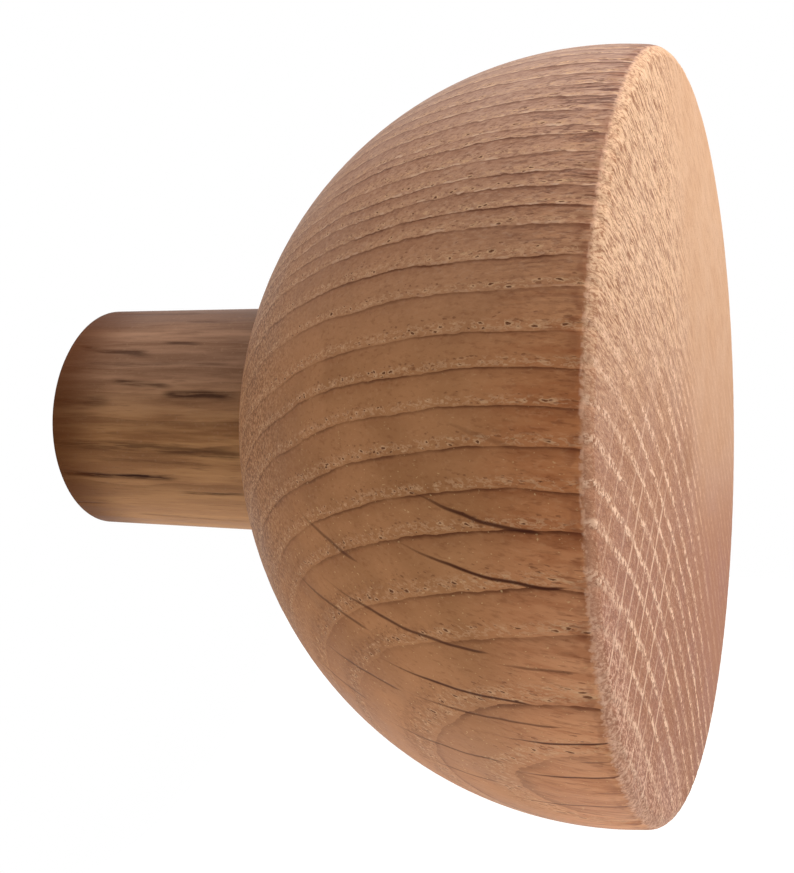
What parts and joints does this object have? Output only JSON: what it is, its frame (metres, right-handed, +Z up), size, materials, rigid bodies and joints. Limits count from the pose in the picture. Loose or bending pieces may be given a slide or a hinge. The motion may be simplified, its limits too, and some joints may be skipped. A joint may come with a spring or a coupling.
{
  "type": "wall coat hook",
  "caption": "Turned oak wall coat hook with a domed, flat-faced head on a round neck, fixed to the wall by a threaded insert, hanger bolt and wall plug.",
  "frame": {"origin": "centre of the neck's back face, in the plane of the wall surface, where the wall plug's mouth lies", "axes": "+Y into the wall along the hook's axis, -Y out of the wall towards the head's flat front face, +Z up, +X to the right seen from the front"},
  "size_m": [0.08, 0.114, 0.08],
  "materials": {
    "head": "satin",
    "neck": "satin",
    "threaded_insert": "satin",
    "hanger_bolt": "satin",
    "wall_plug": "matte"
  },
  "bodies": {
    "root": {"head": "head", "neck": "neck", "threaded_insert": "threaded_insert", "hanger_bolt": "hanger_bolt", "wall_plug": "wall_plug"}
  },
  "joints": []
}
